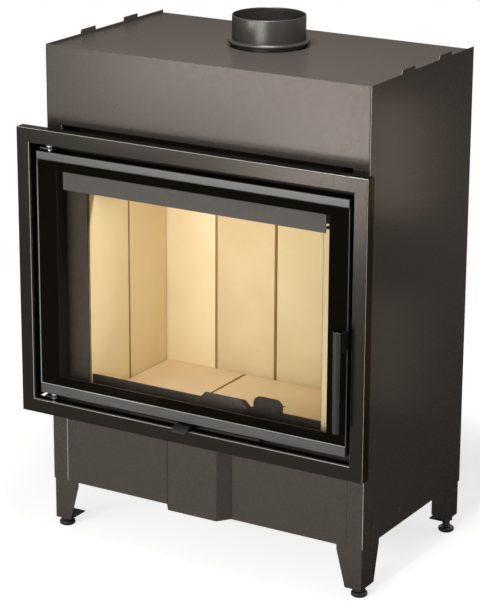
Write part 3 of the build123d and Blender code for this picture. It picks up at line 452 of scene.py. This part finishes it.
# %% Finishes of the frame's pieces
finishes = {
    casing_paint: ["side_panel_right", "side_panel_left", "back_panel", "top_plate", "bottom_plate",
                   "upper_front_panel", "lower_front_panel", "air_duct_box", "leg_front_left",
                   "leg_front_right", "leg_rear_left", "leg_rear_right"],
    fired_steel: ["sealing_plate", "firebox_wall_right", "firebox_wall_left", "firebox_back", "firebox_floor",
                  "firebox_top", "firebox_shoulder", "firebox_stand", "log_guard", "air_chamber"],
    deflector_steel: ["air_deflector"],
    surround_paint: ["surround_top", "surround_bottom", "surround_left", "surround_right"],
    door_paint: ["door_frame"],
    flue_paint: ["flue_collar"],
    side_brick: ["right_brick_front", "right_brick_rear", "left_brick_front", "left_brick_rear",
                 "smoke_baffle", "back_brick_4"],
    pale_brick: ["back_brick_1"], tan_brick: ["back_brick_2"], grey_brick: ["back_brick_3"],
    floor_brick: ["floor_brick_left", "floor_brick_right"],
    foot_steel: ["levelling_foot_front_left", "levelling_foot_front_right", "levelling_foot_rear_left",
                 "levelling_foot_rear_right", "foot_lock_nuts", "case_screws"],
    zinc: ["surround_screws", "trim_screws", "hinge_pins", "latch_pivot", "latch_striker", "air_spigot"],
    gate_steel: ["air_gate", "latch_lever", "hinge_brackets"],
    black_chrome: ["handle_rod"],
    brushed_strip: ["door_trims"],
    ceramic_glass: ["door_glass"],
    rope_fibre: ["door_rope"],
    seal_tape: ["glass_seal"],
}
for finish, node_names in finishes.items():
    for node_name in node_names:
        nodes[node_name].data.materials.clear()
        nodes[node_name].data.materials.append(finish)
painted = {node_name for names in finishes.values() for node_name in names}
print("nodes with a finish of their own:", len(painted))

# %% [markdown]
# ## Folded and cut sheet, with real edges
# No edge of a real sheet is perfectly sharp: a fold has the press brake's radius and a cut edge is broken
# with a file. Each CAD piece comes as loose triangles, so a copy is merged, its flat faces are joined again,
# and its sharp edges are bevelled by the piece's own radius. Weighted normals then keep the flats flat.


# %% Rounded copies of the frame's pieces
SHARP, FLAT, SMOOTH = math.radians(32), math.radians(0.4), math.radians(50)
WELD = 0.02 * MM


def merged_copy(*node_names):
    """A bmesh of CAD nodes with their loose triangles welded and their flat faces joined."""
    mesh = bmesh.new()
    for node_name in node_names:
        mesh.from_mesh(nodes[node_name].data)
    bmesh.ops.remove_doubles(mesh, verts=mesh.verts, dist=WELD)
    bmesh.ops.dissolve_limit(mesh, angle_limit=FLAT, verts=mesh.verts, edges=mesh.edges,
                             delimit={"NORMAL"})
    return mesh


def sharp_edges(mesh):
    """The edges where two faces meet at a sharp angle."""
    return [edge for edge in mesh.edges if len(edge.link_faces) == 2 and edge.calc_face_angle(0) > SHARP]


def round_off(mesh, edges, radius_mm, segments=2):
    """Bevel these edges with round corners."""
    bmesh.ops.bevel(mesh, geom=edges, offset=radius_mm * MM, offset_type="OFFSET", segments=segments,
                    profile=0.5, affect="EDGES", clamp_overlap=False, material=-1)


def stand_for(mesh, name, finish, *node_names, body=None):
    """Turn a bmesh into a smooth-shaded piece that rides its body and stands for these CAD nodes."""
    data = bpy.data.meshes.new(name)
    for face in mesh.faces:
        face.smooth = True
    mesh.to_mesh(data)
    mesh.free()
    data.set_sharp_from_angle(angle=SMOOTH)
    data.materials.append(finish)
    piece = bpy.data.objects.new(name, data)
    bpy.context.scene.collection.objects.link(piece)
    weighted = piece.modifiers.new("flat_faces_stay_flat", "WEIGHTED_NORMAL")
    weighted.keep_sharp = True
    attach(piece, body or body_of(nodes[node_names[0]])[0])
    if node_names:
        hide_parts(*node_names)
    return piece


def dress(node_name, finish, radius_mm, segments=2):
    """The usual case: one CAD node with its sharp edges rounded."""
    mesh = merged_copy(node_name)
    round_off(mesh, sharp_edges(mesh), radius_mm, segments)
    return stand_for(mesh, node_name + "_finished", finish, node_name)


print("rounding: edges sharper than", round(math.degrees(SHARP)), "degrees")

# %% [markdown]
# ## Casing
# The rounded front edges that turn to the right, and on the surround also those that turn upwards, get a
# lighter
# paint: a painted highlight along these folds. The casing's two upright corners are bent around a larger
# radius than the other edges.


# %% Sheet-steel casing
def paint_edge_highlights(piece, upper=True):
    """Paint a highlight, in a lighter paint, on the rounded front edges that face to the right, and upwards
    too.
    """
    slant = 0.35
    piece.data.materials.append(painted_highlight_edge)
    last = len(piece.data.materials) - 1
    for face in piece.data.polygons:
        if face.normal.y < -slant and (face.normal.x > slant or (upper and face.normal.z > slant)):
            face.material_index = last


FOLD_RADIUS, CORNER_RADIUS = 0.9, 1.7
AT_CORNER = 0.1 * MM
for sheet_name in finishes[casing_paint]:
    mesh = merged_copy(sheet_name)
    front_corner = [edge for edge in sharp_edges(mesh)
                    if all(abs(abs(end.co.x) - SIDE) < AT_CORNER and abs(end.co.y - FRONT) < AT_CORNER
                           for end in edge.verts)]
    if front_corner:
        round_off(mesh, front_corner, CORNER_RADIUS, 4)
    round_off(mesh, sharp_edges(mesh), FOLD_RADIUS)
    sheet = stand_for(mesh, sheet_name + "_finished", casing_paint, sheet_name)
    if sheet_name.startswith("side_panel"):
        # painted highlight on the side panel's rounded front edge that turns to the right
        paint_edge_highlights(sheet, upper=False)
print("casing sheets and legs:", len(finishes[casing_paint]))

# %% [markdown]
# ## Surround frame
# Four members of 3 mm sheet, folded back at the outer edge and mitred at the corners. The lip around the
# opening gets a bright metal finish: a plane cuts the faces of the copy 7 mm behind the front, and the faces of
# the opening before that cut get the bright metal. The folds have a larger radius than the casing's, while the
# mitres stay as they were cut: their faces lean to the side and upwards at once, which sorts them out.


# %% Surround members
SURROUND_FACE, LIP_DEPTH, SURROUND_RADIUS = 29.0, 7.0, 1.4
frame_low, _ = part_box("surround_bottom")
_, frame_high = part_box("surround_top")
opening_half = frame_high.x - SURROUND_FACE * MM
opening_low, opening_high = frame_low.z + SURROUND_FACE * MM, frame_high.z - SURROUND_FACE * MM
lip_back = frame_low.y + LIP_DEPTH * MM


def on_the_lip(centre):
    """Whether a face's middle lies on the bright lip of the opening."""
    near = 1.0 * MM
    beside = abs(abs(centre.x) - opening_half) < near and opening_low - near < centre.z < opening_high + near
    above = min(abs(centre.z - opening_low), abs(centre.z - opening_high)) < near
    return centre.y < lip_back and (beside or (above and abs(centre.x) < opening_half + near))


for member in ("top", "bottom", "left", "right"):
    mesh = merged_copy("surround_" + member)
    whole = mesh.verts[:] + mesh.edges[:] + mesh.faces[:]
    bmesh.ops.bisect_plane(mesh, geom=whole, plane_co=(0, lip_back, 0), plane_no=(0, 1, 0))
    folds = [edge for edge in sharp_edges(mesh)
             if not any(min(abs(face.normal.x), abs(face.normal.z)) > 0.5 for face in edge.link_faces)]
    round_off(mesh, folds, SURROUND_RADIUS, 3)
    piece = stand_for(mesh, "surround_member_" + member, surround_paint, "surround_" + member)
    piece.data.materials.append(bright_lip_finish)
    for face in piece.data.polygons:
        face.material_index = int(on_the_lip(face.center))
    # painted highlight on the member's rounded front edges that turn to the right and upwards
    paint_edge_highlights(piece)
print("opening of the surround:", round(2 * opening_half / MM), "mm wide")

# %% [markdown]
# ## Door
# The pane is the door's outer face. Its rim is ground and shows as a thin pale line, and its black border is
# printed on the inner side, so it is a ring of its own at the pane's inner face. The ring starts as a grid of
# nine cells whose middle one is taken out, which keeps its faces whole at the corners.


# %% Flat rings
def flat_ring(outer, inner, depth, thick_mm):
    """A rectangular ring square to Y. outer and inner are (half width, low, high) in millimetres."""
    ring = bmesh.new()
    bmesh.ops.create_grid(ring, x_segments=3, y_segments=3, size=1.5)
    columns = (-outer[0], -inner[0], inner[0], outer[0])
    rows = (outer[1], inner[1], inner[2], outer[2])
    for vertex in ring.verts:
        column, row = round(vertex.co.x + 1.5), round(vertex.co.y + 1.5)
        vertex.co = place(columns[column], depth, rows[row])
    middle_cell = min(ring.faces, key=lambda face: (face.calc_center_median()
                                                    - place(0, depth, (inner[1] + inner[2]) / 2)).length)
    bmesh.ops.delete(ring, geom=[middle_cell], context="FACES")
    walls = bmesh.ops.extrude_face_region(ring, geom=ring.faces[:])
    moved = [item for item in walls["geom"] if isinstance(item, bmesh.types.BMVert)]
    bmesh.ops.translate(ring, verts=moved, vec=(0, thick_mm * MM, 0))
    bmesh.ops.recalc_face_normals(ring, faces=ring.faces[:])
    return ring


# %% Pane, printed border and seal
PANE_FRONT, PANE_THICK, PANE_RIM = -56.0, 4.0, 0.5
PRINT_THICK, PRINT_GAP = 0.15, 0.02
CLEAR_HALF, CLEAR_LOW, CLEAR_HIGH = 310.0, 250.0, 680.0
pane_low, pane_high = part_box("door_glass")
pane_half = pane_high.x / MM
pane_rows = [(pane_low.z - BASE) / MM, (pane_high.z - BASE) / MM]
mesh = merged_copy("door_glass")
round_off(mesh, sharp_edges(mesh), 0.6)
pane = stand_for(mesh, "ceramic_pane", ceramic_glass, "door_glass")
pane.data.materials.append(ground_rim)
for face in pane.data.polygons:
    face.material_index = int(abs(face.normal.y) < 0.4)
border = flat_ring((pane_half - PANE_RIM, pane_rows[0] + PANE_RIM, pane_rows[1] - PANE_RIM),
                   (CLEAR_HALF, CLEAR_LOW, CLEAR_HIGH),
                   PANE_FRONT + PANE_THICK - PRINT_THICK - PRINT_GAP, PRINT_THICK)
stand_for(border, "printed_border", black_enamel, body="door")
dress("door_trims", brushed_strip, 0.8)
dress("air_deflector", deflector_steel, 0.8)
mesh = merged_copy("door_frame")
round_off(mesh, sharp_edges(mesh), 0.5, 1)
stand_for(mesh, "door_pan", door_paint, "door_frame")
print("clear window", 2 * CLEAR_HALF, "by", CLEAR_HIGH - CLEAR_LOW, "mm")

# %% [markdown]
# ## Firebricks
# Bricks are pressed in a mould, so their long front edges have a small bevel and every other edge is only
# rubbed round. The faces stay flat. A fine relief of the clay is in the material. A bevel that leans towards
# its neighbour is part of a joint and gets the darker joint clay as a second material.

# %% Bricks
LEAN_FROM, LEAN_TO = 0.5, 0.95      # how far a bevel's normal points to the next brick
laid = 0
for clay in (side_brick, pale_brick, tan_brick, grey_brick, floor_brick):
    for node_name in finishes[clay]:
        mesh = merged_copy(node_name)
        side = node_name.startswith(("left", "right"))
        for face in mesh.faces:
            towards_joint = -face.normal.y if side else face.normal.x
            if LEAN_FROM < towards_joint < LEAN_TO:
                face.material_index = 1
        round_off(mesh, sharp_edges(mesh), 0.6)
        stand_for(mesh, node_name + "_finished", clay, node_name).data.materials.append(dark_joint_clay)
        laid += 1
print("bricks dressed:", laid)

# %% [markdown]
# ## Handle
# A straight bar of polished black chrome, its ends turned to a small radius, on the blackened latch lever.
# A cylinder is enough, with its two rims bevelled in three steps so that they catch the light.


# %% Turned bars
def turned_bar(low, high, radius, rim_mm, sides=48):
    """An upright bar between two points with rounded rims."""
    bar = bmesh.new()
    bmesh.ops.create_cone(bar, cap_ends=True, segments=sides, radius1=radius, radius2=radius,
                          depth=(high - low).length)
    bmesh.ops.translate(bar, verts=bar.verts, vec=(low + high) / 2)
    round_off(bar, sharp_edges(bar), rim_mm, 3)
    return bar


rod_low, rod_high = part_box("handle_rod")
rod_middle = (rod_low + rod_high) / 2
rod_radius = (rod_high.x - rod_low.x) / 2
ROD_RIM = 1.6
bar = turned_bar(Vector((rod_middle.x, rod_middle.y, rod_low.z)),
                 Vector((rod_middle.x, rod_middle.y, rod_high.z)), rod_radius, ROD_RIM)
stand_for(bar, "handle_bar", black_chrome, "handle_rod")
dress("latch_lever", gate_steel, 0.8)
dress("air_gate", gate_steel, 0.9, 3)
dress("log_guard", fired_steel, 0.8)
print("handle bar", round((rod_high.z - rod_low.z) / MM), "mm long")

# %% [markdown]
# ## Turned and fastened pieces
# The flue collar and the levelling feet are round, so each is a stack of short cones along an upright axis,
# welded at the rings, like a profile on a lathe. A stud's thread is the same stack with a ridge at each pitch
# of 2 mm. The pads have a chamfer above and below, and the collar has its stop bead.


# %% Lathe
def turned(profile, foot, sides=32):
    """A turned piece from pairs of radius and height in millimetres, standing upright on a point."""
    lathe = bmesh.new()
    for (near, start), (far, end) in zip(profile, profile[1:]):
        ring = bmesh.ops.create_cone(lathe, cap_ends=False, segments=sides, radius1=near * MM,
                                     radius2=far * MM, depth=(end - start) * MM)
        bmesh.ops.translate(lathe, verts=ring["verts"], vec=(0, 0, (start + end) / 2 * MM))
    bmesh.ops.remove_doubles(lathe, verts=lathe.verts, dist=0.01 * MM)
    bmesh.ops.recalc_face_normals(lathe, faces=lathe.faces)
    bmesh.ops.translate(lathe, verts=lathe.verts, vec=foot)
    return lathe


# %% Flue collar
collar_low, collar_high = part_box("flue_collar")
COLLAR_OUT, COLLAR_IN, BEAD_OUT, BEAD_TALL, RIM_OVER_BEAD = 74.0, 71.0, 82.0, 7.5, 48.5
rise = (collar_high.z - collar_low.z) / MM
bead_top = rise - RIM_OVER_BEAD
bead_foot = bead_top - BEAD_TALL
profile = [(COLLAR_IN, 0.0), (COLLAR_IN, rise - 1.5), (COLLAR_IN + 0.4, rise - 0.5),
           (COLLAR_IN + 1.1, rise - 0.02), (COLLAR_OUT - 1.1, rise), (COLLAR_OUT - 0.4, rise - 0.5),
           (COLLAR_OUT, rise - 1.5),
           (COLLAR_OUT, bead_top + 0.6), (COLLAR_OUT + 0.5, bead_top), (BEAD_OUT - 2.5, bead_top - 0.01),
           (BEAD_OUT - 0.8, bead_top - 0.8), (BEAD_OUT, bead_top - 2.5), (BEAD_OUT, bead_foot + 2.5),
           (BEAD_OUT - 0.8, bead_foot + 0.8), (BEAD_OUT - 2.5, bead_foot), (COLLAR_OUT, bead_foot - 0.01),
           (COLLAR_OUT, 0.01), (COLLAR_IN, 0.0)]
collar = turned(profile, Vector((0, (collar_low.y + collar_high.y) / 2, collar_low.z)), sides=128)
stand_for(collar, "turned_flue_collar", flue_paint, "flue_collar")
print("collar", round(rise), "mm tall, bead", BEAD_TALL, "mm")

# %% Levelling feet
PAD_RADIUS, PAD_HIGH, STUD_RADIUS, PITCH, RIDGE = 16.5, 10.0, 8.0, 2.0, 0.6
for corner in ("front_left", "front_right", "rear_left", "rear_right"):
    node_name = "levelling_foot_" + corner
    low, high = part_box(node_name)
    tall = (high.z - low.z) / MM
    profile = [(0.0, 0.0), (PAD_RADIUS - 2.7, 0.0), (PAD_RADIUS - 2.3, 0.2), (PAD_RADIUS - 0.3, 2.2),
               (PAD_RADIUS, 2.8), (PAD_RADIUS, 7.2), (PAD_RADIUS - 0.3, 7.8), (PAD_RADIUS - 2.3, 9.8),
               (PAD_RADIUS - 2.8, PAD_HIGH), (STUD_RADIUS, PAD_HIGH + 0.01)]
    turns = int((tall - PAD_HIGH - 2.0) / PITCH)
    for turn in range(turns):
        height = PAD_HIGH + 1.0 + turn * PITCH
        profile += [(STUD_RADIUS - RIDGE, height), (STUD_RADIUS, height + PITCH / 2)]
    profile += [(STUD_RADIUS - RIDGE, tall - 0.5), (0.0, tall)]
    foot = turned(profile, Vector(((low.x + high.x) / 2, (low.y + high.y) / 2, low.z)))
    stand_for(foot, "threaded_" + node_name, foot_steel, node_name)
print("stud turns:", turns)

# %% [markdown]
# ## Screws, nuts and the rest
# A screw head gets its socket by an inset of its flat end, pushed in, which leaves the head's own rounded
# rim. Only the ends that face outwards get one: to the side on the casing, to the front on the surround.


# %% Nuts, pins and screws
SCREW_RIM, SOCKET_WIDE, SOCKET_DEEP, SOCKET_WALL = 0.2, 4.0, 1.2, 0.1


def socketed(node_name, axis, finish):
    """A CAD node of screws with rounded rims and a socket in each outer flat end."""
    mesh = merged_copy(node_name)
    ends = []
    for face in mesh.faces:
        size = face.calc_area() ** 0.5 / MM
        if abs(face.normal[axis]) > 0.99 and len(face.verts) > 8 and size > SOCKET_WIDE:
            outward = face.normal[0] * face.calc_center_median().x > 0 if axis == 0 else face.normal[1] < 0
            if outward:
                ends.append(face)
    for face in ends:
        head_radius = face.calc_perimeter() / (2 * math.pi)
        bmesh.ops.inset_individual(mesh, faces=[face], thickness=head_radius - SOCKET_WIDE / 2 * MM)
        inward = -face.normal * SOCKET_DEEP * MM
        bmesh.ops.inset_individual(mesh, faces=[face], thickness=SOCKET_WALL * MM)
        bmesh.ops.translate(mesh, verts=face.verts, vec=inward)
    round_off(mesh, [edge for edge in sharp_edges(mesh) if edge.calc_length() < 3 * MM], SCREW_RIM)
    stand_for(mesh, node_name + "_socketed", finish, node_name)
    return len(ends)


sockets = socketed("case_screws", 0, foot_steel)
sockets += socketed("surround_screws", 1, zinc)
dress("foot_lock_nuts", foot_steel, 0.5)
dress("hinge_pins", zinc, 0.6, 3)
dress("hinge_brackets", gate_steel, 0.4)
dress("latch_pivot", gate_steel, 0.6)
dress("latch_striker", zinc, 0.5)
dress("air_spigot", zinc, 0.4)
for plain in ("sealing_plate", "firebox_wall_right", "firebox_wall_left", "firebox_shoulder", "air_chamber"):
    dress(plain, fired_steel, 0.5)
print("screw sockets:", sockets)
